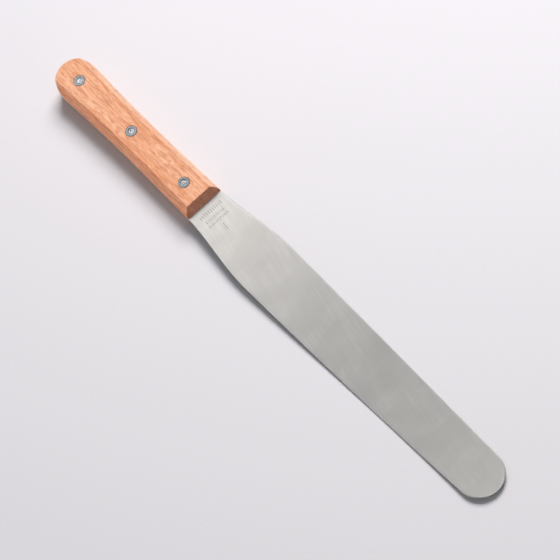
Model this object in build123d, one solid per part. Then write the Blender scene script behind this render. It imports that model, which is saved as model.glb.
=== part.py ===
from build123d import *
import math
import os

# A straight palette knife: one steel blade whose full tang is clamped between two wooden
# scales by three two-piece cutler's rivets.
#
# Frame: the origin is on the handle's flat underside, on the middle rivet's axis. +X runs
# along the knife to the blade's tip, +Z is up, and the knife is symmetric about y = 0.
# All sizes are in millimetres.

# Blade
BLADE_LENGTH = 254.0  # from the handle's front to the tip: a 10 inch blade
BLADE_WIDTH = 35.4  # at the widest place
SWELL_LENGTH = 56.0  # from the handle's front to the widest place
NECK_SLOPE = 0.03  # how fast each edge widens as it leaves the handle
TAPER_ANGLE = 0.5  # degrees each edge has turned inwards at the widest place
TIP_RADIUS = 14.2
BLADE_THICKNESS = 1.5  # tang and neck
TIP_THICKNESS = 0.9
BOW_NEAR = 3.6  # the blade bows down: how low its side curve's control point hangs a third of the way
BOW_FAR = 7.0  # and two thirds of the way from the handle to the tip; the blade itself dips 4.1

# Handle
FRONT_X = 64.5  # where the blade leaves the handle
BUTT_X = -64.5
FRONT_WIDTH = 24.9  # handle and blade are flush here
WAIST_WIDTH = 23.3
WAIST_X = 4.0
BUTT_RADIUS = 12.8
HANDLE_THICKNESS = 15.0
BEVEL_WIDTH = 3.5  # side bevel, measured across the flat face
BEVEL_HEIGHT = 4.8  # side bevel, measured down the side
FRONT_SETBACK = 2.85  # how far the sloping end grain leans back at the flat face
BUTT_EASE = 0.8  # radius on the butt's outer edge

# Rivets
RIVET_SPACING = 48.5
HEAD_RADIUS = 3.6
HEAD_THICKNESS = 1.6
SLEEVE_RADIUS = 2.6
POST_RADIUS = 1.9
TANG_HOLE_RADIUS = 2.65
POST_RECESS = 0.25  # the post's end sits this far below the sleeve's open head
SLEEVE_GAP = 0.8  # between the sleeve's end and the post's head
HEAD_EASE = 0.2  # chamfer on the visible rim of a head

# Derived places
MID_Z = HANDLE_THICKNESS / 2
TANG_TOP_Z = MID_Z + BLADE_THICKNESS / 2
TIP_X = FRONT_X + BLADE_LENGTH
BUTT_CENTRE_X = BUTT_X + BUTT_RADIUS
RIVETS = {"butt": -RIVET_SPACING, "middle": 0.0, "front": RIVET_SPACING}
CLEAR = 20.0  # how far cutting shapes run past the knife
LOW = (Align.CENTER, Align.CENTER, Align.MIN)


def front_flare_radius():
    """Radius of the side arc that leaves the waist parallel to the axis and ends at the front corner."""
    run = FRONT_X - WAIST_X
    rise = (FRONT_WIDTH - WAIST_WIDTH) / 2
    return (run**2 + rise**2) / (2 * rise)


def rear_flare_radius():
    """Radius of the side arc that leaves the waist parallel to the axis and meets the butt's circle smoothly."""
    run = WAIST_X - BUTT_CENTRE_X
    waist = WAIST_WIDTH / 2
    return (run**2 + waist**2 - BUTT_RADIUS**2) / (2 * (BUTT_RADIUS - waist))


def side_arcs(front_x, rear_turn):
    """The handle's concave side for y > 0: from front_x to the waist, then back through rear_turn degrees."""
    front_radius = front_flare_radius()
    rear_radius = rear_flare_radius()
    front_turn = math.degrees(math.asin((front_x - WAIST_X) / front_radius))
    front_centre = (WAIST_X, WAIST_WIDTH / 2 + front_radius)
    rear_centre = (WAIST_X, WAIST_WIDTH / 2 + rear_radius)
    front_arc = CenterArc(front_centre, front_radius, 270, front_turn)
    rear_arc = CenterArc(rear_centre, rear_radius, 270 - rear_turn, rear_turn)
    return front_arc, rear_arc


def closed_face(half_outline):
    """The face bounded by an outline for y > 0, which starts and ends on the X axis, and its mirror image."""
    return make_face(half_outline + mirror(half_outline, Plane.XZ))


def handle_plan():
    """The handle seen from above: square front, waisted sides and a round butt."""
    run = WAIST_X - BUTT_CENTRE_X
    turn = math.degrees(math.asin(run / (rear_flare_radius() + BUTT_RADIUS)))
    front_arc, rear_arc = side_arcs(FRONT_X, turn)
    butt_arc = CenterArc((BUTT_CENTRE_X, 0), BUTT_RADIUS, 90 - turn, 90 + turn)
    front_edge = Line((FRONT_X, 0), (FRONT_X, FRONT_WIDTH / 2))
    return closed_face(front_edge + front_arc + rear_arc + butt_arc)


def side_strip_plan():
    """The handle's two side curves run on past both ends, where the bevels run out."""
    rear_turn = math.degrees(math.asin((WAIST_X - BUTT_X + CLEAR) / rear_flare_radius()))
    front_arc, rear_arc = side_arcs(FRONT_X + CLEAR, rear_turn)
    front_corner = front_arc @ 1
    rear_corner = rear_arc @ 0
    front_edge = Line((front_corner.X, 0), front_corner)
    rear_edge = Line(rear_corner, (rear_corner.X, 0))
    return closed_face(front_edge + front_arc + rear_arc + rear_edge)


def blade_plan():
    """The blade seen from above: an S-shaped swell, a long slightly bowed taper and a round tip."""
    neck = Vector(FRONT_X, FRONT_WIDTH / 2)
    widest = Vector(FRONT_X + SWELL_LENGTH, BLADE_WIDTH / 2)
    turn = math.radians(TAPER_ANGLE)
    third = SWELL_LENGTH / 3
    swell = Bezier(
        neck,
        neck + Vector(third, NECK_SLOPE * third),
        widest + Vector(-third, math.tan(turn) * third),
        widest,
    )
    # The taper is an arc that starts at the widest place and meets the tip's circle smoothly.
    tip_centre = Vector(TIP_X - TIP_RADIUS, 0)
    inward = Vector(-math.sin(turn), -math.cos(turn))
    gap = widest - tip_centre
    taper_radius = (TIP_RADIUS**2 - gap.dot(gap)) / (2 * (gap.dot(inward) + TIP_RADIUS))
    taper_centre = widest + inward * taper_radius
    meet = (tip_centre - taper_centre).normalized()
    meet_angle = math.degrees(math.atan2(meet.Y, meet.X))
    taper = CenterArc(taper_centre, taper_radius, meet_angle, 90 - TAPER_ANGLE - meet_angle)
    tip = CenterArc(tip_centre, TIP_RADIUS, 0, meet_angle)
    neck_edge = Line((FRONT_X, 0), neck)
    return closed_face(neck_edge + swell + taper + tip)


def blade_side(side):
    """One face of the blade seen from the side, from the neck to the tip; side is -1 below and 1 above."""
    neck = Vector(FRONT_X, MID_Z + side * BLADE_THICKNESS / 2)
    tip = Vector(TIP_X, MID_Z + side * TIP_THICKNESS / 2)
    third = (tip - neck) / 3
    return Bezier(neck, neck + third - Vector(0, BOW_NEAR), tip - third - Vector(0, BOW_FAR), tip)


def blade():
    """The blade and its full tang, one strip that thins evenly from the handle to the tip."""
    plan = handle_plan() + blade_plan()
    strip = extrude(plan, amount=HANDLE_THICKNESS)
    lower = blade_side(-1)
    upper = blade_side(1)
    butt_x = BUTT_X - CLEAR
    tang = Polyline(upper @ 0, (butt_x, (upper @ 0).Y), (butt_x, (lower @ 0).Y), lower @ 0)
    tip = Line(lower @ 1, upper @ 1)
    thickness_profile = Plane.XZ * make_face(tang + lower + tip + upper)
    strip = strip & extrude(thickness_profile, amount=BLADE_WIDTH, both=True)
    for x in RIVETS.values():
        strip -= Pos(x, 0, 0) * Cylinder(TANG_HOLE_RADIUS, HANDLE_THICKNESS, align=LOW)
    return strip


def upper_scale():
    """The wooden half above the tang, with bevelled sides, a sloping front and counterbored rivet holes."""
    block = Pos(0, 0, TANG_TOP_Z) * extrude(handle_plan(), amount=HANDLE_THICKNESS - TANG_TOP_Z)
    bevel_angle = math.degrees(math.atan(BEVEL_WIDTH / BEVEL_HEIGHT))
    bevel_z = HANDLE_THICKNESS - BEVEL_HEIGHT
    straight = extrude(side_strip_plan(), amount=bevel_z)
    bevelled = Pos(0, 0, bevel_z) * extrude(side_strip_plan(), amount=BEVEL_HEIGHT, taper=bevel_angle)
    front_profile = Plane.XZ * make_face(
        Polyline(
            (BUTT_X - CLEAR, TANG_TOP_Z),
            (FRONT_X, TANG_TOP_Z),
            (FRONT_X - FRONT_SETBACK, HANDLE_THICKNESS),
            (BUTT_X - CLEAR, HANDLE_THICKNESS),
            close=True,
        )
    )
    scale = block & (straight + bevelled)
    scale = scale & extrude(front_profile, amount=BLADE_WIDTH, both=True)
    butt_edge = scale.faces().sort_by(Axis.Z)[-1].edges().sort_by(Axis.X)[0]
    scale = fillet(butt_edge, BUTT_EASE)
    for x in RIVETS.values():
        scale -= Pos(x, 0, 0) * Cylinder(SLEEVE_RADIUS, HANDLE_THICKNESS, align=LOW)
        seat_z = HANDLE_THICKNESS - HEAD_THICKNESS
        scale -= Pos(x, 0, seat_z) * Cylinder(HEAD_RADIUS, HEAD_THICKNESS, align=LOW)
    return scale


def turned(points):
    """A solid of revolution about the Z axis from (radius, height) corners."""
    return revolve(Plane.XZ * make_face(Polyline(*points, close=True)), Axis.Z)


def rivet_sleeve():
    """The rivet's tubular half, with its open head flush in the upper scale."""
    top = HANDLE_THICKNESS
    seat = top - HEAD_THICKNESS
    end = HEAD_THICKNESS + SLEEVE_GAP
    return turned(
        [
            (POST_RADIUS, end),
            (SLEEVE_RADIUS, end),
            (SLEEVE_RADIUS, seat),
            (HEAD_RADIUS, seat),
            (HEAD_RADIUS, top - HEAD_EASE),
            (HEAD_RADIUS - HEAD_EASE, top),
            (POST_RADIUS, top),
        ]
    )


def rivet_post():
    """The rivet's solid half: a plain head flush in the lower scale, and a post pressed into the sleeve."""
    end = HANDLE_THICKNESS - POST_RECESS
    return turned(
        [
            (0, 0),
            (HEAD_RADIUS - HEAD_EASE, 0),
            (HEAD_RADIUS, HEAD_EASE),
            (HEAD_RADIUS, HEAD_THICKNESS),
            (POST_RADIUS, HEAD_THICKNESS),
            (POST_RADIUS, end),
            (0, end),
        ]
    )


def sub_parts():
    """Every piece by its node's name."""
    upper = upper_scale()
    pieces = {
        "blade": blade(),
        "upper_scale": upper,
        "lower_scale": mirror(upper, Plane.XY.offset(MID_Z)),
    }
    for place, x in RIVETS.items():
        pieces[f"{place}_rivet_sleeve"] = Pos(x, 0, 0) * rivet_sleeve()
        pieces[f"{place}_rivet_post"] = Pos(x, 0, 0) * rivet_post()
    return pieces


os.makedirs("parts", exist_ok=True)
for name, piece in sub_parts().items():
    export_step(piece, f"parts/{name}.step")
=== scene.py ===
import math

import bmesh
import bpy
import numpy as np
from mathutils import Matrix, Vector, noise


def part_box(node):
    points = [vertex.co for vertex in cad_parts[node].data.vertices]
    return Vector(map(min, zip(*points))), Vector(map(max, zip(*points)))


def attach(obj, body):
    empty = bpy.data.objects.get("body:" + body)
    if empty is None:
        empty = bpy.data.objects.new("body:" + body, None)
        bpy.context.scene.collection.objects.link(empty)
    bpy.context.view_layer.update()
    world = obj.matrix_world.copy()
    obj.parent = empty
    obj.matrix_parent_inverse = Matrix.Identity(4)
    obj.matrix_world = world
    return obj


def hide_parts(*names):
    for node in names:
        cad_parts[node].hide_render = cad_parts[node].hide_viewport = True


# A straight palette knife: a satin steel blade whose tang is clamped between two wooden scales
# by three two-piece rivets. Meshes are drawn in millimetres and turned into metres when they
# are finished. Lights are placed in metres.

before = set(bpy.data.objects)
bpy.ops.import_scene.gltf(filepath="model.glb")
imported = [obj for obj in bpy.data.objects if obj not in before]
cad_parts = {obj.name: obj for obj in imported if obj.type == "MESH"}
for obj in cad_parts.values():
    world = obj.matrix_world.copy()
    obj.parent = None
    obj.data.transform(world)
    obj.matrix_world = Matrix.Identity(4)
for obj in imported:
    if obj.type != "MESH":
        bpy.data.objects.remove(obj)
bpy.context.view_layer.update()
MM = 0.001


def box_mm(node):
    """A CAD node's lowest and highest corner in millimetres."""
    low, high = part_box(node)
    return low / MM, high / MM


def rivet_x(place):
    """Where along the handle a rivet's axis stands."""
    low, high = box_mm(f"{place}_rivet_sleeve")
    return (low.x + high.x) / 2


# Sizes read from the frame
BLADE_HIGH = box_mm("blade")[1]
SCALE_LOW, SCALE_HIGH = box_mm("upper_scale")
HEAD_LOW, HEAD_HIGH = box_mm("middle_rivet_sleeve")
POST_END_Z = box_mm("middle_rivet_post")[1].z
TIP_X = BLADE_HIGH.x
BUTT_X = SCALE_LOW.x
FRONT_X = SCALE_HIGH.x
TOP_Z = SCALE_HIGH.z
TANG_TOP_Z = SCALE_LOW.z
MID_Z = TOP_Z / 2
BLADE_HALF_WIDTH = BLADE_HIGH.y - 0.006  # the swell bulges a few microns past its widest joint
BUTT_RADIUS = SCALE_HIGH.y
NECK_THICKNESS = 2 * (TANG_TOP_Z - MID_Z)
HEAD_RADIUS = (HEAD_HIGH.x - HEAD_LOW.x) / 2
SLEEVE_END_Z = HEAD_LOW.z
PLACES = ("butt", "middle", "front")

# The handle's other sizes
WAIST_X = 4.0
WAIST_HALF_WIDTH = 11.65
FRONT_HALF_WIDTH = 12.45
BEVEL_WIDTH = 3.5
BEVEL_HEIGHT = 4.8
FRONT_SETBACK = 2.85
FRONT_FOOT = 0.18  # blunt lower edge of the sloping end grain
SIDE_EASE = 0.4  # rounding between the side wall and the bevel
BUTT_EASE = 0.8
EASE_SHARE = 0.4  # the rounding takes no more than this share of the side wall
CREASE = 0.4  # softness of the creases between the flat faces
SEAM = 0.07  # hairline groove where wood meets steel
SEAT_GAP = 0.05  # hairline round a rivet's head

# The blade's other sizes
SWELL_LENGTH = 56.0
NECK_SLOPE = 0.03
TAPER_TURN = math.radians(0.5)
TIP_RADIUS = 14.2
TIP_THICKNESS = 0.9
BOW_NEAR = 3.6  # depth of the bow's control points, a third and two thirds of the way to the tip
BOW_FAR = 7.0
EDGE_SHARE = 0.36  # height of the edge rounding as a share of the blade's thickness
EDGE_REACH = 0.55  # how far the edge rounding reaches in across the blade
EDGE_RUN = 1.5  # how far past the handle the edge rounding is full
TANG_EASE = 0.06
WAVE_HEIGHT = 0.02  # long waves left by rolling and grinding
BRUSH_TURN = math.radians(10)  # the brushing runs this far off the blade's length

# The etched rows: distance past the handle, half height, half length, and the dashes' pitch and
# the share of it that a dash fills
ETCHED_ROWS = (
    (5.4, 1.2, 8.2, 1.5, 0.4),
    (9.9, 1.0, 7.1, 1.25, 0.42),
    (13.1, 1.0, 7.3, 1.25, 0.42),
    (19.0, 2.3, 1.5, 1.5, 0.36),
)
ROW_SHIFT = 0.37  # each row's dashes start this share of a pitch further along

# The rivets' other sizes
HEAD_THICKNESS = 1.6
SLEEVE_RADIUS = 2.6
POST_RADIUS = 1.9
TANG_HOLE_RADIUS = 2.65

# How finely the meshes are divided
FRONT_EDGE_STEPS = 26
FRONT_ARC_STEPS = 64
REAR_ARC_STEPS = 48
BUTT_ARC_STEPS = 52
CORNER_CROWD = 1.5  # above 1, the steps crowd towards the handle's front corners
MIDDLE_CROWD = 1.4
WALL_SHARES = (0.0, 0.35, 0.7)
RIM_STEPS = 6
FIRST_INSET = 1.0
INSETS = [  # across the bevels, finely over the creases, and just inside the flat top
    *np.arange(FIRST_INSET, 2.65, 0.2),
    *np.arange(2.7, 3.95, 0.08),
    4.3,
]
SWELL_STEPS = 64
TAPER_STEPS = 96
TIP_STEPS = 40
EDGE_STEPS = 5
BLADE_COLUMNS = 28
SEAT_CORNERS = 64
HOLE_CORNERS = 48
RIVET_CORNERS = 96

# The handle's curves seen from above: two concave arcs that meet at the waist, and a round butt
BUTT_CENTRE_X = BUTT_X + BUTT_RADIUS
FRONT_RUN = FRONT_X - WAIST_X
FRONT_RISE = FRONT_HALF_WIDTH - WAIST_HALF_WIDTH
FRONT_FLARE = (FRONT_RUN**2 + FRONT_RISE**2) / (2 * FRONT_RISE)
REAR_RUN = WAIST_X - BUTT_CENTRE_X
REAR_RISE = BUTT_RADIUS - WAIST_HALF_WIDTH
REAR_FLARE = (REAR_RUN**2 + WAIST_HALF_WIDTH**2 - BUTT_RADIUS**2) / (2 * REAR_RISE)
REAR_TURN = math.asin(REAR_RUN / (REAR_FLARE + BUTT_RADIUS))


# Shared mesh code


def steps(count, crowd=1.0):
    """Shares from 0 to 1, packed towards 0 when crowd is above 1."""
    return [(i / count) ** crowd for i in range(count + 1)]


def lerp(a, b, share):
    return a + (b - a) * share


def smooth_step(value, low, high):
    share = min(1.0, max(0.0, (value - low) / (high - low)))
    return share * share * (3 - 2 * share)


def soft_min(a, b, softness):
    """The lower of two heights, with the crease between them rounded off."""
    overlap = max(softness - abs(a - b), 0.0)
    return min(a, b) - overlap * overlap / (4 * softness)


def arc_points(centre, radius, start, end, count, crowd=1.0):
    """count points from the angle start to the angle end, in radians, without the first one."""
    angles = [lerp(start, end, share) for share in steps(count, crowd)[1:]]
    return [(centre[0] + radius * math.cos(a), centre[1] + radius * math.sin(a)) for a in angles]


def add_loop(mesh, points):
    return [mesh.verts.new(point) for point in points]


def bridge(mesh, first, second, closed=True):
    """A band of faces between two loops with the same number of corners."""
    count = len(first)
    last = count if closed else count - 1
    for i in range(last):
        j = (i + 1) % count
        mesh.faces.new((first[i], first[j], second[j], second[i]))


def loop_edges(mesh, loop, closed=True):
    count = len(loop)
    last = count if closed else count - 1
    return [mesh.edges.get((loop[i], loop[(i + 1) % count])) for i in range(last)]


def fill_flat(mesh, edges, normal):
    """Triangles that fill a flat outline round its holes."""
    bmesh.ops.triangle_fill(mesh, use_beauty=True, edges=edges, normal=normal)


def circle(x, z, radius, count):
    turns = [2 * math.pi * i / count for i in range(count)]
    return [(x + radius * math.cos(a), radius * math.sin(a), z) for a in turns]


def inward_normals(loop):
    """Unit normals that point into a closed counter-clockwise outline, mitred at its corners."""
    points = np.array(loop)
    ahead = np.roll(points, -1, axis=0) - points
    behind = points - np.roll(points, 1, axis=0)
    ahead /= np.linalg.norm(ahead, axis=1)[:, None]
    behind /= np.linalg.norm(behind, axis=1)[:, None]
    first = np.stack([-ahead[:, 1], ahead[:, 0]], axis=1)
    second = np.stack([-behind[:, 1], behind[:, 0]], axis=1)
    return (first + second) / (1 + np.sum(first * second, axis=1))[:, None]


def moved_in(outline, insets):
    """An outline's points, each moved inwards by its own inset."""
    normals = inward_normals(outline)
    return [(x + n[0] * d, y + n[1] * d) for (x, y), n, d in zip(outline, normals, insets)]


def finished_piece(mesh, name, nodes, material, sharp_angle=35):
    """Turns a millimetre mesh into a piece in the shared frame that stands for CAD nodes."""
    bmesh.ops.recalc_face_normals(mesh, faces=mesh.faces)
    bmesh.ops.scale(mesh, vec=(MM, MM, MM), verts=mesh.verts)
    data = bpy.data.meshes.new(name)
    mesh.to_mesh(data)
    mesh.free()
    data.polygons.foreach_set("use_smooth", [True] * len(data.polygons))
    data.set_sharp_from_angle(angle=math.radians(sharp_angle))
    piece = bpy.data.objects.new(name, data)
    bpy.context.scene.collection.objects.link(piece)
    data.materials.append(material)
    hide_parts(*nodes)
    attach(piece, "root")
    return piece


# Handle


def side_y(x):
    """Half the handle's width at x, with both side curves run on past their ends."""
    radius = FRONT_FLARE if x > WAIST_X else REAR_FLARE
    return WAIST_HALF_WIDTH + radius - math.sqrt(radius**2 - (x - WAIST_X) ** 2)


def handle_side(inset, front_x, crowd):
    """The handle's outline for y > 0, from its front corner to the butt's end, moved in."""
    front_centre = (WAIST_X, WAIST_HALF_WIDTH + FRONT_FLARE)
    front_radius = FRONT_FLARE + inset
    rear_centre = (WAIST_X, WAIST_HALF_WIDTH + REAR_FLARE)
    butt_centre = (BUTT_CENTRE_X, 0)
    down = 1.5 * math.pi
    corner = down + math.asin((front_x - WAIST_X) / front_radius)
    junction = math.pi / 2 - REAR_TURN
    corner_y = front_centre[1] + front_radius * math.sin(corner)
    points = [(WAIST_X + front_radius * math.cos(corner), corner_y)]
    points += arc_points(front_centre, front_radius, corner, down, FRONT_ARC_STEPS, crowd)
    points += arc_points(rear_centre, REAR_FLARE + inset, down, down - REAR_TURN, REAR_ARC_STEPS)
    butt_start = math.pi - junction
    points += arc_points(butt_centre, BUTT_RADIUS - inset, butt_start, math.pi, BUTT_ARC_STEPS)
    return points


def handle_loop(inset):
    """The whole outline, from the middle of the front round the butt and back."""
    front_x = FRONT_X - inset
    half = handle_side(inset, front_x, CORNER_CROWD)
    shares = steps(FRONT_EDGE_STEPS, MIDDLE_CROWD)
    front = [(front_x, half[0][1] * (1 - share)) for share in shares][::-1]
    half = front[:-1] + half
    return half + [(x, -y) for x, y in half[-2:0:-1]]


def scale_height(x, y):
    """Height of the upper scale's surface: a flat top, two side bevels and a sloping front."""
    bevel = TOP_Z - BEVEL_HEIGHT + (side_y(x) - abs(y)) * BEVEL_HEIGHT / BEVEL_WIDTH
    foot = TANG_TOP_Z + FRONT_FOOT
    front = foot + (FRONT_X - x) * (TOP_Z - foot) / FRONT_SETBACK
    return soft_min(soft_min(TOP_Z, bevel, CREASE), front, CREASE)


def on_surface(points):
    return [(x, y, scale_height(x, y)) for x, y in points]


def rim_ease(x, y):
    """Rounding at the wall's top: small along the sides, larger at the butt, least in front."""
    height = scale_height(x, y)
    ease = lerp(SIDE_EASE, BUTT_EASE, smooth_step(height, TOP_Z - BEVEL_HEIGHT, TOP_Z))
    return min(ease, EASE_SHARE * (height - TANG_TOP_Z))


def scale_loops():
    """The upper scale's loops, from its underside up the wall, over the rim and in to the top."""
    outline = handle_loop(0)
    eases = [rim_ease(x, y) for x, y in outline]
    wall_tops = [scale_height(x, y) - ease for (x, y), ease in zip(outline, eases)]
    groove = moved_in(outline, [SEAM] * len(outline))
    loops = [[(x, y, TANG_TOP_Z) for x, y in groove]]
    for share in WALL_SHARES:
        loop = []
        for (x, y), wall_top in zip(outline, wall_tops):
            wall_foot = min(TANG_TOP_Z + SEAM, lerp(TANG_TOP_Z, wall_top, 0.5))
            loop.append((x, y, lerp(wall_foot, wall_top, share)))
        loops.append(loop)
    for turn in np.linspace(0, math.pi / 2, RIM_STEPS + 1):
        loop = []
        ring = moved_in(outline, [ease * (1 - math.cos(turn)) for ease in eases])
        for (x, y), ease in zip(ring, eases):
            loop.append((x, y, scale_height(x, y) - ease * (1 - math.sin(turn))))
        loops.append(loop)
    loops.append(on_surface(moved_in(outline, [(ease + FIRST_INSET) / 2 for ease in eases])))
    loops += [on_surface(handle_loop(inset)) for inset in INSETS]
    loops[-1] = [(x, y, TOP_Z) for x, y, z in loops[-1]]
    return loops


def add_rivet_hole(mesh, x):
    """One stepped hole through the upper scale; gives its loops from the top to the tang."""
    seat_z = TOP_Z - HEAD_THICKNESS
    seat_radius = HEAD_RADIUS + SEAT_GAP
    corners = [
        (TOP_Z, seat_radius + SEAM),
        (TOP_Z - SEAM, seat_radius),
        (seat_z, seat_radius),
        (seat_z, SLEEVE_RADIUS),
        (TANG_TOP_Z, SLEEVE_RADIUS),
    ]
    hole = [add_loop(mesh, circle(x, z, radius, SEAT_CORNERS)) for z, radius in corners]
    for first, second in zip(hole, hole[1:]):
        bridge(mesh, first, second)
    return hole


def scale_mesh():
    """The upper scale as one closed mesh with three stepped rivet holes."""
    mesh = bmesh.new()
    loops = [add_loop(mesh, points) for points in scale_loops()]
    for first, second in zip(loops, loops[1:]):
        bridge(mesh, first, second)
    top_edges = loop_edges(mesh, loops[-1])
    bottom_edges = loop_edges(mesh, loops[0])
    for place in PLACES:
        hole = add_rivet_hole(mesh, rivet_x(place))
        top_edges += loop_edges(mesh, hole[0])
        bottom_edges += loop_edges(mesh, hole[-1])
    fill_flat(mesh, top_edges, (0, 0, 1))
    fill_flat(mesh, bottom_edges, (0, 0, -1))
    return mesh


def build_scales(upper_material, lower_material):
    """Both scales: the lower one is the upper one's mirror image."""
    upper = scale_mesh()
    lower = upper.copy()
    for vertex in lower.verts:
        vertex.co.z = 2 * MID_Z - vertex.co.z
    return [
        finished_piece(upper, "upper_scale_wood", ["upper_scale"], upper_material),
        finished_piece(lower, "lower_scale_wood", ["lower_scale"], lower_material),
    ]


# Blade


def blade_half():
    """The exposed blade's outline for y > 0, from past the neck's corner to the tip's end."""
    neck = Vector((FRONT_X, FRONT_HALF_WIDTH))
    widest = Vector((FRONT_X + SWELL_LENGTH, BLADE_HALF_WIDTH))
    third = SWELL_LENGTH / 3
    start_pull = neck + Vector((third, NECK_SLOPE * third))
    end_pull = widest + Vector((-third, math.tan(TAPER_TURN) * third))
    corners = (neck, start_pull, end_pull, widest)
    points = []
    for t in steps(SWELL_STEPS)[1:]:
        weights = ((1 - t) ** 3, 3 * (1 - t) ** 2 * t, 3 * (1 - t) * t**2, t**3)
        point = sum((corner * weight for corner, weight in zip(corners, weights)), Vector((0, 0)))
        points.append(tuple(point))
    tip_centre = Vector((TIP_X - TIP_RADIUS, 0))
    inward = Vector((-math.sin(TAPER_TURN), -math.cos(TAPER_TURN)))
    gap = widest - tip_centre
    taper_radius = (TIP_RADIUS**2 - gap.dot(gap)) / (2 * (gap.dot(inward) + TIP_RADIUS))
    taper_centre = widest + inward * taper_radius
    meet = tip_centre - taper_centre
    meet_angle = math.atan2(meet.y, meet.x)
    start_angle = math.pi / 2 - TAPER_TURN
    points += arc_points(taper_centre, taper_radius, start_angle, meet_angle, TAPER_STEPS)
    points += arc_points(tip_centre, TIP_RADIUS, meet_angle, 0, TIP_STEPS)
    return points


def blade_share(x):
    """0 in the handle and at the neck, 1 at the tip."""
    return max(0.0, (x - FRONT_X) / (TIP_X - FRONT_X))


def thickness(x):
    return lerp(NECK_THICKNESS, TIP_THICKNESS, blade_share(x))


def middle_z(x):
    """Height of the blade's middle layer: level in the handle, then bowed down."""
    s = blade_share(x)
    return MID_Z - 3 * s * (1 - s) * (BOW_NEAR * (1 - s) + BOW_FAR * s)


def wave(x, y):
    """Long shallow waves in the blade, gone at the neck and at the tip."""
    fade_in = smooth_step(x, FRONT_X + 4, FRONT_X + 40)
    fade_out = 1 - smooth_step(x, TIP_X - 40, TIP_X - 8)
    long_wave = math.sin(x / 7.5 + 0.11 * y)
    short_wave = 0.7 * math.sin(x / 4.3 - 0.16 * y + 1.3)
    return WAVE_HEIGHT * fade_in * fade_out * (long_wave + short_wave) / 1.7


def face_z(x, y, side, drop=0.0):
    """Height of the blade's upper face (side 1) or lower face (side -1), less a drop inwards."""
    return middle_z(x) + side * (thickness(x) / 2 - drop) + wave(x, y)


def edge_rounding(x):
    """How far the edge rounding reaches in, and how high it is; tiny on the tang."""
    share = smooth_step(x, FRONT_X, FRONT_X + EDGE_RUN)
    reach = lerp(TANG_EASE, EDGE_REACH, share)
    return reach, lerp(TANG_EASE, EDGE_SHARE * thickness(x), share)


def blade_loops(outline):
    """The loops round the blade's edge, from its lower face out and up to its upper face."""
    normals = inward_normals(outline)
    loops = []
    for side, start, end in ((-1, math.pi / 2, 0), (1, 0, math.pi / 2)):
        for turn in np.linspace(start, end, EDGE_STEPS + 1):
            loop = []
            for (x, y), normal in zip(outline, normals):
                reach, height = edge_rounding(x)
                inset = reach * (1 - math.cos(turn))
                z = face_z(x, y, side, height * (1 - math.sin(turn)))
                loop.append((x + normal[0] * inset, y + normal[1] * inset, z))
            loops.append(loop)
    return loops


def add_tang_hole(mesh, x, side):
    """The rim of one rivet hole in one face of the tang."""
    z = MID_Z + side * NECK_THICKNESS / 2
    rim = add_loop(mesh, circle(x, z, TANG_HOLE_RADIUS, HOLE_CORNERS))
    for first, second in zip(rim, rim[1:] + rim[:1]):
        mesh.edges.new((first, second))
    return rim


def add_blade_face(mesh, rim, neck, tip, side):
    """One face of the blade inside its rim; gives the rims of the tang's rivet holes.

    neck and tip are places in the rim, and rim[-i] lies straight across from rim[i].
    """
    rows = []
    for i in range(neck, tip):
        row = [rim[i]]
        for share in steps(BLADE_COLUMNS)[1:-1]:
            x, y, _ = rim[i].co.lerp(rim[-i].co, share)
            row.append(mesh.verts.new((x, y, face_z(x, y, side))))
        rows.append(row + [rim[-i]])
    for first, second in zip(rows, rows[1:]):
        bridge(mesh, first, second, closed=False)
    for a, b in zip(rows[-1], rows[-1][1:]):
        mesh.faces.new((a, b, rim[tip]))

    edges = []
    for line in (rim[: neck + 1], [rim[-i] for i in range(neck + 1)], rows[0]):
        edges += loop_edges(mesh, line, closed=False)
    holes = [add_tang_hole(mesh, rivet_x(place), side) for place in PLACES]
    for hole in holes:
        edges += loop_edges(mesh, hole)
    fill_flat(mesh, edges, (0, 0, side))
    return holes


def blade_mesh():
    """The blade and its tang as one closed strip with rounded edges and three rivet holes."""
    mesh = bmesh.new()
    tang = handle_side(0, FRONT_X, 1.0)[::-1]
    half = tang + blade_half()
    outline = [(x, -y) for x, y in half] + [(x, y) for x, y in half[-2:0:-1]]
    loops = [add_loop(mesh, points) for points in blade_loops(outline)]
    for first, second in zip(loops, loops[1:]):
        bridge(mesh, first, second)
    neck = len(tang) - 1
    tip = len(half) - 1
    lower_holes = add_blade_face(mesh, loops[0], neck, tip, -1)
    upper_holes = add_blade_face(mesh, loops[-1], neck, tip, 1)
    for first, second in zip(lower_holes, upper_holes):
        bridge(mesh, first, second)
    return mesh


# Rivets


def lathe(profile, x):
    """A closed mesh turned about a vertical axis from (radius, height) corners.

    A corner with radius 0 makes a pole.
    """
    mesh = bmesh.new()
    rows = []
    for radius, z in profile:
        if radius < 1e-6:
            rows.append([mesh.verts.new((x, 0, z))])
        else:
            rows.append(add_loop(mesh, circle(x, z, radius, RIVET_CORNERS)))
    for first, second in zip(rows, rows[1:] + rows[:1]):
        if len(first) == 1 and len(second) == 1:
            continue
        if len(first) == 1 or len(second) == 1:
            pole, ring = (first[0], second) if len(first) == 1 else (second[0], first)
            for a, b in zip(ring, ring[1:] + ring[:1]):
                mesh.faces.new((pole, a, b))
        else:
            bridge(mesh, first, second)
    return mesh


def rounded(corner_radius, corner_z, ease, start, end, count):
    """Profile points round a corner: an arc about (corner_radius, corner_z), in degrees."""
    angles = [math.radians(lerp(start, end, share)) for share in steps(count)]
    return [(corner_radius + ease * math.cos(a), corner_z + ease * math.sin(a)) for a in angles]


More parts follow.
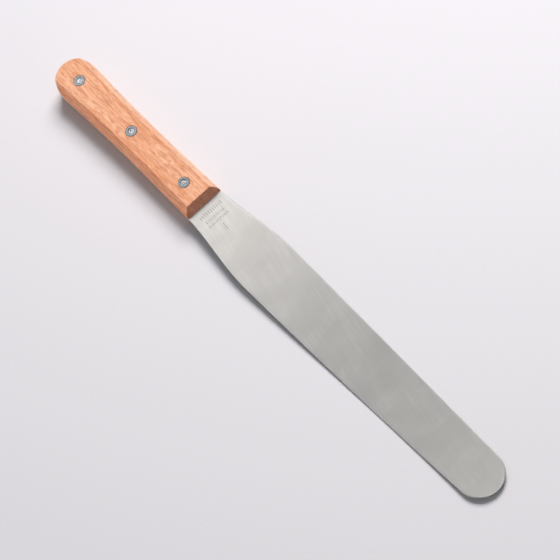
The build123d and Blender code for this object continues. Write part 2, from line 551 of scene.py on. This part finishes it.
def sleeve_piece(place, x, material):
    """The tubular half: a ring head with a rounded rim, a slight crown and a rolled inner lip."""
    rim = 0.34
    lip = 0.16
    crown = 0.05  # how far the ring's crest stands above the rounded rim and lip
    crest = (2.7, 3.0)  # where the crest begins and ends, measured from the axis
    under_ease = 0.05  # the small chamfer under the head
    seat_z = TOP_Z - HEAD_THICKNESS
    profile = [
        (POST_RADIUS, SLEEVE_END_Z),
        (SLEEVE_RADIUS, SLEEVE_END_Z),
        (SLEEVE_RADIUS, seat_z),
        (HEAD_RADIUS - under_ease, seat_z),
        (HEAD_RADIUS, seat_z + under_ease),
    ]
    profile += rounded(HEAD_RADIUS - rim, TOP_Z - rim - crown, rim, 0, 80, 8)
    profile += [(crest[1], TOP_Z), (crest[0], TOP_Z), (2.4, TOP_Z - 0.02)]
    profile += rounded(POST_RADIUS + lip, TOP_Z - lip - crown, lip, 95, 180, 6)
    name = f"{place}_rivet_ring"
    nodes = [f"{place}_rivet_sleeve"]
    return finished_piece(lathe(profile, x), name, nodes, material, 50)


def post_profile():
    """The solid half: a plain crowned head below, a post and a rounded end."""
    rim = 0.3
    crown = 0.06  # how far the lower head's middle stands out past its rounded rim
    shoulder = 0.22
    shoulder_z = POST_END_Z - 0.08
    end_z = POST_END_Z - 0.06
    end_radius = 1.6
    low_rim = rounded(HEAD_RADIUS - rim, HEAD_THICKNESS - rim - crown, rim, 80, 0, 8)
    profile = [(0, 0), (1.2, 0.01), (2.2, 0.03)]
    profile += [(radius, HEAD_THICKNESS - z) for radius, z in low_rim]
    profile += [(HEAD_RADIUS, HEAD_THICKNESS), (POST_RADIUS, HEAD_THICKNESS)]
    profile += rounded(POST_RADIUS - shoulder, shoulder_z - shoulder, shoulder, 0, 75, 6)
    profile += [(share * end_radius, end_z) for share in steps(10)[::-1]]
    return profile


def post_piece(place, x, material):
    """The solid half, whose end inside the ring is hammered uneven."""
    mesh = lathe(post_profile(), x)
    dent_size = 1.25
    dent_depth = 0.16
    highest = POST_END_Z + 0.1
    seed = Vector((x * 0.37, 4.1, 2.7))
    for vertex in mesh.verts:
        if vertex.co.z > POST_END_Z - 0.2:
            radius = math.hypot(vertex.co.x - x, vertex.co.y)
            inside = 1 - smooth_step(radius, 0.9, 1.75)
            dent = noise.fractal(vertex.co / dent_size + seed, 0.8, 2.1, 2)
            vertex.co.z = min(vertex.co.z + dent_depth * inside * dent, highest)
    name = f"{place}_rivet_core"
    return finished_piece(mesh, name, [f"{place}_rivet_post"], material, 50)


# Materials


def colour(red, green, blue):
    return (red, green, blue, 1.0)


WOOD_PALE = colour(0.815, 0.505, 0.335)
WOOD_DEEP = colour(0.75, 0.41, 0.245)
DARK_STREAK = colour(0.62, 0.25, 0.12)
PALE_STREAK = colour(0.92, 0.58, 0.38)
GRAIN_LINE = colour(0.50, 0.20, 0.105)
FINE_GRAIN_LINE = colour(0.50, 0.21, 0.11)
DARK_FIBRE = colour(0.60, 0.25, 0.13)
PALE_FLECK = colour(0.94, 0.64, 0.44)
PORE = colour(0.40, 0.14, 0.07)
# Colour of a thin darker line just inside the flat top's crease along one long side
CREASE_DARK_LINE = colour(0.45, 0.17, 0.09)
# Darkens the end grain, which is darker wood, and paints shade on the sloping front end, which
# faces away from the key light
END_GRAIN_AND_SHADE_TINT = colour(0.64, 0.57, 0.60)

STEEL_PALE = colour(0.70, 0.70, 0.678)
STEEL_DEEP = colour(0.645, 0.645, 0.625)
STEEL_BAND = colour(0.585, 0.585, 0.565)
STEEL_CLOUD = colour(0.61, 0.61, 0.59)
# Painted shade: darkens the blade towards its tip, in place of the panel's reflection fading along
# the blade
FAR_BLADE_SHADE = colour(0.87, 0.87, 0.87)
ETCHED = colour(0.24, 0.18, 0.16)

RING_DEEP = colour(0.22, 0.235, 0.25)
RING_PALE = colour(0.38, 0.40, 0.42)
CORE_DEEP = colour(0.36, 0.38, 0.40)
CORE_PALE = colour(0.66, 0.66, 0.66)

FLOOR_DEEP = colour(0.80, 0.785, 0.81)
FLOOR_PALE = colour(0.83, 0.815, 0.84)


class Shader:
    """Short calls for building one material's node tree."""

    def __init__(self, name):
        self.material = bpy.data.materials.new(name)
        self.material.use_nodes = True
        self.tree = self.material.node_tree
        self.surface = self.tree.nodes["Principled BSDF"]

    def node(self, kind, inputs=None, **settings):
        made = self.tree.nodes.new("ShaderNode" + kind)
        for key, value in settings.items():
            setattr(made, key, value)
        for key, value in (inputs or {}).items():
            self.plug(made.inputs[key], value)
        return made

    def plug(self, socket, value):
        if isinstance(value, bpy.types.NodeSocket):
            self.tree.links.new(value, socket)
        else:
            socket.default_value = value

    def finish(self, base, roughness, metallic=0.0, normal=None):
        """Plugs the finished channels into the surface."""
        self.plug(self.surface.inputs["Base Color"], base)
        self.plug(self.surface.inputs["Roughness"], roughness)
        self.plug(self.surface.inputs["Metallic"], metallic)
        if normal is not None:
            self.plug(self.surface.inputs["Normal"], normal)
        return self.material

    def math(self, operation, a, b=0.0):
        return self.node("Math", {0: a, 1: b}, operation=operation).outputs[0]

    def gap(self, a, b):
        """How far apart two values are."""
        return self.math("ABSOLUTE", self.math("SUBTRACT", a, b))

    def vector(self, operation, a, b):
        return self.node("VectorMath", {0: a, 1: b}, operation=operation).outputs[0]

    def axes(self, vector):
        """A vector's X, Y and Z."""
        return self.node("SeparateXYZ", {0: vector}).outputs

    def millimetres(self, offset=(0, 0, 0)):
        """The object's own coordinates in millimetres, moved by an offset."""
        place = self.node("TexCoord").outputs["Object"]
        scaled = self.vector("MULTIPLY", place, (1 / MM, 1 / MM, 1 / MM))
        return self.vector("ADD", scaled, offset)

    def noise(self, place, size, detail=2.0, roughness=0.5, distortion=0.0, output="Fac"):
        """Noise whose features are about size millimetres along each axis."""
        inputs = {
            "Vector": self.vector("MULTIPLY", place, tuple(1 / s for s in size)),
            "Scale": 1.0,
            "Detail": detail,
            "Roughness": roughness,
            "Distortion": distortion,
        }
        return self.node("TexNoise", inputs).outputs[output]

    def spread(self, value, low, high, to_low=0.0, to_high=1.0):
        """Maps the range low to high smoothly onto another range."""
        inputs = {
            "Value": value,
            "From Min": low,
            "From Max": high,
            "To Min": to_low,
            "To Max": to_high,
        }
        return self.node("MapRange", inputs, interpolation_type="SMOOTHSTEP").outputs["Result"]

    def blend(self, share, a, b, mode="MIX"):
        made = self.node("Mix", data_type="RGBA", blend_type=mode)
        self.plug(made.inputs["Factor"], share)
        self.plug(made.inputs["A"], a)
        self.plug(made.inputs["B"], b)
        return made.outputs["Result"]

    def bump(self, height, distance, strength):
        """A bumped normal; distance is in millimetres."""
        inputs = {"Height": height, "Distance": distance * MM, "Strength": strength}
        return self.node("Bump", inputs).outputs["Normal"]


def wood_material(name, seed):
    """Oiled wood: bands, streaks, broken lines, fibres, flecks and pores, a thin darker line
    inside one crease of the top, and darker end grain with painted shade on the sloping front end.
    """
    s = Shader(name)
    place = s.millimetres((seed * 71.0, seed * 13.0, seed * 29.0))
    drift = s.noise(place, (38, 12, 12), output="Color")
    drift = s.vector("SUBTRACT", drift, (0.5, 0.5, 0.5))
    drift = s.vector("MULTIPLY", drift, (0.0, 5.0, 5.0))
    grain = s.vector("ADD", place, drift)

    bands = s.noise(grain, (48, 4.2, 4.2), 2.0, 0.5, 0.3)
    streaks = s.noise(grain, (12, 1.3, 1.3), 3.0, 0.6, 0.4)
    waves = s.noise(grain, (26, 2.3, 2.3), 1.5, 0.5, 0.35)
    fine_waves = s.noise(grain, (17, 1.3, 1.3), 1.5, 0.5, 0.3)
    breaks = s.noise(grain, (11, 2.6, 2.6), 1.0)
    fibres = s.noise(grain, (5, 0.3, 0.3), 2.0, 0.6)
    pores = s.noise(grain, (3.6, 0.5, 0.5), 1.0)
    flecks = s.noise(grain, (4.5, 0.8, 1.6), 1.0)

    lines = s.spread(s.gap(waves, 0.5), 0.0, 0.085, 1.0, 0.0)
    lines = s.math("MULTIPLY", lines, s.spread(breaks, 0.40, 0.55))
    fine_lines = s.spread(s.gap(fine_waves, 0.52), 0.0, 0.1, 1.0, 0.0)
    fine_lines = s.math("MULTIPLY", fine_lines, s.spread(breaks, 0.60, 0.42))
    pore_mask = s.spread(pores, 0.62, 0.72)

    base = s.blend(s.spread(bands, 0.35, 0.65), WOOD_PALE, WOOD_DEEP)
    base = s.blend(s.spread(streaks, 0.50, 0.68, 0.0, 0.5), base, DARK_STREAK)
    base = s.blend(s.spread(streaks, 0.44, 0.30, 0.0, 0.4), base, PALE_STREAK)
    base = s.blend(s.math("MULTIPLY", lines, 0.65), base, GRAIN_LINE)
    base = s.blend(s.math("MULTIPLY", fine_lines, 0.5), base, FINE_GRAIN_LINE)
    base = s.blend(s.spread(fibres, 0.5, 0.7, 0.0, 0.35), base, DARK_FIBRE)
    base = s.blend(s.spread(flecks, 0.6, 0.7, 0.0, 0.35), base, PALE_FLECK)
    base = s.blend(s.math("MULTIPLY", pore_mask, 0.45), base, PORE)
    # A thin darker line just inside the top's crease along one long side
    base = s.blend(s.math("MULTIPLY", crease_line(s), 0.28), base, CREASE_DARK_LINE)
    # Darker end grain, with painted shade on the sloping front end, which faces away from the key
    # light
    base = s.blend(end_grain_and_front_shade(s), base, END_GRAIN_AND_SHADE_TINT, "MULTIPLY")

    roughness = s.spread(streaks, 0.3, 0.7, 0.42, 0.56)
    ridges = s.math("MULTIPLY", fibres, 0.35)
    relief = s.math("SUBTRACT", ridges, s.math("MULTIPLY", pore_mask, 0.6))
    return s.finish(base, roughness, normal=s.bump(relief, 0.05, 0.7))


def end_grain_and_front_shade(s):
    """Darker end grain plus painted shade: 1 where the wood's face looks along its grain, but
    weaker at the butt, which faces the key light, than on the sloping front end, which faces away
    from it.
    """
    facing = s.axes(s.node("NewGeometry").outputs["True Normal"])["X"]
    mask = s.spread(s.math("ABSOLUTE", facing), 0.75, 0.92)
    # The painted shade is strongest on the front end, away from the key light
    front_shade_share = s.spread(s.axes(s.millimetres())["X"], 50, 55, 0.25, 1.0)
    return s.math("MULTIPLY", mask, front_shade_share)


def crease_line(s):
    """A thin darker line along one long edge of the flat top, just inside its crease with the
    bevel.
    """
    axes = s.axes(s.millimetres())
    from_waist = s.math("SUBTRACT", axes["X"], WAIST_X)
    squared = s.math("MULTIPLY", from_waist, from_waist)
    in_front = s.math("GREATER_THAN", from_waist, 0.0)
    curve = s.spread(in_front, 0.0, 1.0, 0.5 / REAR_FLARE, 0.5 / FRONT_FLARE)
    half_width = s.math("ADD", s.math("MULTIPLY", squared, curve), WAIST_HALF_WIDTH)
    from_edge = s.math("SUBTRACT", half_width, axes["Y"])
    return s.spread(s.gap(from_edge, BEVEL_WIDTH + 0.35), 0.15, 0.85, 1.0, 0.0)


def steel_material():
    """Satin steel: slanting brush lines, soft bands across, clouds, the etched marks, and painted
    shade that darkens the blade towards its tip.
    """
    s = Shader("satin_steel")
    place = s.millimetres()
    turned = {"Vector": place, "Angle": BRUSH_TURN}
    along = s.node("VectorRotate", turned, rotation_type="Z_AXIS").outputs[0]
    brush = s.noise(along, (16, 0.9, 0.9), 1.0)
    lines = s.noise(along, (26, 1.6, 1.6), 2.0, 0.6)
    lean = s.vector("MULTIPLY", s.axes(place)["Y"], (0.15, 0, 0))
    bands = s.noise(s.vector("ADD", place, lean), (12, 30, 30), 0.0)
    clouds = s.noise(place, (11, 9, 9), 2.0, 0.5, 0.3)
    marks = etched_marks(s, place)

    base = s.blend(s.spread(lines, 0.34, 0.66), STEEL_DEEP, STEEL_PALE)
    base = s.blend(s.spread(bands, 0.34, 0.62, 0.0, 0.8), base, STEEL_BAND)
    base = s.blend(s.spread(clouds, 0.36, 0.66, 0.0, 0.5), base, STEEL_CLOUD)
    # Painted shade: the blade darkens towards its tip, in place of the panel's reflection fading
    # along it
    far_shade_share = s.spread(s.axes(place)["X"], 115.0, 215.0)
    base = s.blend(far_shade_share, base, FAR_BLADE_SHADE, "MULTIPLY")
    base = s.blend(s.math("MULTIPLY", marks, 0.75), base, ETCHED)

    roughness = s.spread(clouds, 0.3, 0.7, 0.315, 0.335)
    roughness = s.math("ADD", roughness, s.spread(brush, 0.3, 0.7, -0.01, 0.01))
    roughness = s.math("ADD", roughness, s.spread(bands, 0.35, 0.65, -0.005, 0.015))
    roughness = s.math("ADD", roughness, s.math("MULTIPLY", marks, 0.12))
    ridges = s.math("MULTIPLY", brush, 0.025)
    relief = s.math("SUBTRACT", ridges, s.math("MULTIPLY", marks, 0.6))
    return s.finish(base, roughness, 1.0, s.bump(relief, 0.02, 0.6))


def etched_marks(s, place):
    """Four rows of short plain dashes etched across the neck's upper face. They spell nothing."""
    blur = 0.15
    dash_blur = 0.08
    axes = s.axes(place)
    past_handle = s.math("SUBTRACT", axes["X"], FRONT_X)
    off_middle = s.math("ABSOLUTE", axes["Y"])
    marks = 0.0
    for row, (distance, half_height, reach, pitch, filled) in enumerate(ETCHED_ROWS, 1):
        in_row = s.spread(s.gap(past_handle, distance), half_height, half_height - blur)
        in_reach = s.spread(off_middle, reach, reach - blur)
        pitches = s.math("ADD", s.math("DIVIDE", axes["Y"], pitch), ROW_SHIFT * row)
        from_dash = s.gap(s.math("FRACT", pitches), 0.5)
        in_dash = s.spread(from_dash, filled / 2, filled / 2 - dash_blur)
        dashes = s.math("MULTIPLY", s.math("MULTIPLY", in_row, in_reach), in_dash)
        marks = s.math("MAXIMUM", marks, dashes)
    worn = s.spread(s.noise(place, (0.8, 0.6, 0.8), 1.0), 0.38, 0.5, 0.15, 1.0)
    normal = s.node("TexCoord").outputs["Normal"]
    upward = s.math("GREATER_THAN", s.axes(normal)["Z"], 0.5)
    return s.math("MULTIPLY", s.math("MULTIPLY", marks, worn), upward)


def rivet_material(name, deep, pale, roughness):
    """Blotchy pressed metal with fine scratches."""
    s = Shader(name)
    place = s.millimetres()
    blotch = s.noise(place, (0.9, 0.9, 0.9), 3.0, 0.6)
    scratch = s.noise(place, (2.5, 0.12, 0.5), 2.0, 0.6)
    base = s.blend(s.spread(blotch, 0.35, 0.65), deep, pale)
    uneven = s.spread(blotch, 0.3, 0.7, roughness - 0.06, roughness + 0.1)
    return s.finish(base, uneven, 1.0, s.bump(scratch, 0.02, 0.4))


def floor_material():
    s = Shader("pale_floor")
    mottle = s.noise(s.millimetres(), (2.2, 2.2, 2.2))
    return s.finish(s.blend(mottle, FLOOR_DEEP, FLOOR_PALE), 0.75)


# Stage

FLOOR_HALF_SIZE = 12.0  # metres
SKY = colour(0.935, 0.965, 1.0)
WALL_LIGHT = 0.23
CEILING_LIGHT = 0.27
CEILING_HEIGHT = 0.8  # how far up the sky, from 0 to 1, the ceiling's light is full


def rest_tilt():
    """Where the handle's lower front edge touches the floor, and the floor's slope there.

    The slope is the one at which the bowed blade's belly touches the floor too.
    """
    contact = Vector((FRONT_X - FRONT_SETBACK, 0, 0))
    slopes = []
    for share in steps(200)[1:]:
        x = lerp(FRONT_X, TIP_X, share)
        underside = middle_z(x) - thickness(x) / 2 - WAVE_HEIGHT
        slopes.append(underside / (x - contact.x))
    return contact, math.atan(min(slopes))


def add_floor():
    contact, tilt = rest_tilt()
    data = bpy.data.meshes.new("floor")
    half = FLOOR_HALF_SIZE
    corners = [(-half, -half, 0), (half, -half, 0), (half, half, 0), (-half, half, 0)]
    data.from_pydata(corners, [], [(0, 1, 2, 3)])
    data.materials.append(floor_material())
    floor = bpy.data.objects.new("floor", data)
    floor.location = contact * MM
    floor.rotation_euler = (0, -tilt, 0)
    bpy.context.scene.collection.objects.link(floor)
    return floor


def add_light(name, only, place, target, size, watts, tint, shows="both", spread=180):
    """A soft box that lights only some pieces and that the camera doesn't see.

    It shows as "diffuse" light, as a "glossy" reflection or as both.
    """
    data = bpy.data.lights.new(name, "AREA")
    data.shape = "RECTANGLE"
    data.size, data.size_y = size
    data.energy = watts
    data.color = tint
    data.spread = math.radians(spread)
    lamp = bpy.data.objects.new(name, data)
    lamp.location = place
    lamp.rotation_mode = "QUATERNION"
    lamp.rotation_quaternion = (Vector(target) - Vector(place)).to_track_quat("-Z", "Y")
    lamp.visible_camera = False
    lamp.visible_diffuse = shows != "glossy"
    lamp.visible_glossy = shows != "diffuse"
    receivers = bpy.data.collections.new(f"{name}_receivers")
    for piece in only:
        receivers.objects.link(piece)
    lamp.light_linking.receiver_collection = receivers
    bpy.context.scene.collection.objects.link(lamp)


def add_lights(scales, blade, rivets, floor):
    """A key light for wood and floor, panels for the metals to mirror, and two tinted cards."""
    matte = scales + [floor]
    metals = [blade] + rivets
    add_light(
        "key", matte, (-0.64, 1.03, 1.30), (0.11, 0.17, 0),
        (0.9, 0.9), 15.2, (1.0, 0.97, 0.975), "diffuse", spread=113,
    )
    # The blade and the rivets mirror the same panel at different strengths.
    add_light(
        "neck_panel", [blade], (-0.62, 0.08, 0.60), (-0.2, 0.05, 0),
        (0.7, 0.7), 4.15, (1.0, 0.94, 0.92), "glossy",
    )
    add_light(
        "rivet_panel", rivets, (-0.62, 0.08, 0.60), (-0.2, 0.05, 0),
        (0.7, 0.7), 2.2, (1.0, 0.97, 0.95), "glossy",
    )
    # These three keep the steel bright from other sides than the camera's.
    add_light(
        "far_panel", metals, (0.9, 0.1, 0.55), (0.1, 0, 0),
        (1.0, 1.2), 5.0, (1.0, 0.98, 0.96), "glossy",
    )
    add_light(
        "edge_panel", metals, (-0.2, 1.1, 0.75), (0.1, 0, 0),
        (1.6, 1.2), 5.0, (1.0, 1.0, 1.0), "glossy",
    )
    add_light(
        "low_edge_panel", metals, (-0.5, -0.9, 0.75), (0.1, 0, 0),
        (1.4, 0.8), 3.0, (1.0, 1.0, 1.0), "glossy",
    )
    add_light(
        "fill_card", matte, (0.05, -1.3, 0.30), (0.05, 0, 0),
        (1.6, 0.45), 0.5, (0.6, 0.85, 1.0),
    )
    add_light(
        "bevel_card", scales, (0.40, -1.05, 0.80), (0.05, 0, 0),
        (1.0, 0.5), 8.0, (1.0, 0.42, 0.13), "diffuse",
    )


def add_world():
    """Soft room light from the walls near the horizon and from the ceiling."""
    world = bpy.data.worlds.new("studio")
    world.use_nodes = True
    tree = world.node_tree
    direction = tree.nodes.new("ShaderNodeTexCoord")
    split = tree.nodes.new("ShaderNodeSeparateXYZ")
    height = tree.nodes.new("ShaderNodeMapRange")
    height.interpolation_type = "SMOOTHSTEP"
    height.inputs["From Min"].default_value = 0.0
    height.inputs["From Max"].default_value = CEILING_HEIGHT
    height.inputs["To Min"].default_value = WALL_LIGHT
    height.inputs["To Max"].default_value = CEILING_LIGHT
    background = tree.nodes["Background"]
    background.inputs["Color"].default_value = SKY
    tree.links.new(direction.outputs["Generated"], split.inputs[0])
    tree.links.new(split.outputs["Z"], height.inputs["Value"])
    tree.links.new(height.outputs["Result"], background.inputs["Strength"])
    bpy.context.scene.world = world


def add_camera():
    """Above the knife, tilted towards its tip's side, with the blade running down to the right."""
    target = Vector((132.78, -0.53, MID_Z))
    tilt = math.radians(28.15)
    azimuth = math.radians(-14.77)
    roll = math.radians(44.30)
    distance = 2500.6
    level = Vector((math.cos(azimuth), math.sin(azimuth), 0))
    back = level * math.sin(tilt) + Vector((0, 0, math.cos(tilt)))
    along = (Vector((1, 0, 0)) - back * back.x).normalized()
    across = back.cross(along)
    right = along * math.cos(roll) + across * math.sin(roll)
    up = across * math.cos(roll) - along * math.sin(roll)
    data = bpy.data.cameras.new("camera")
    data.sensor_width = 36.0
    data.lens = 284.5
    data.clip_start = 0.1
    data.clip_end = 50.0
    camera = bpy.data.objects.new("camera", data)
    turn = Matrix((right, up, back)).transposed().to_4x4()
    camera.matrix_world = Matrix.Translation((target + back * distance) * MM) @ turn
    bpy.context.scene.collection.objects.link(camera)
    bpy.context.scene.camera = camera


scales = build_scales(wood_material("upper_wood", 1.0), wood_material("lower_wood", 4.0))
blade = finished_piece(
    blade_mesh(), "blade_steel_strip", ["blade"], steel_material()
)
ring_metal = rivet_material("rivet_ring_metal", RING_DEEP, RING_PALE, 0.34)
core_metal = rivet_material("rivet_core_metal", CORE_DEEP, CORE_PALE, 0.28)
rivets = []
for place in PLACES:
    rivets.append(sleeve_piece(place, rivet_x(place), ring_metal))
    rivets.append(post_piece(place, rivet_x(place), core_metal))

floor = add_floor()
add_world()
add_lights(scales, blade, rivets, floor)
add_camera()
bpy.context.scene.view_settings.view_transform = "Standard"
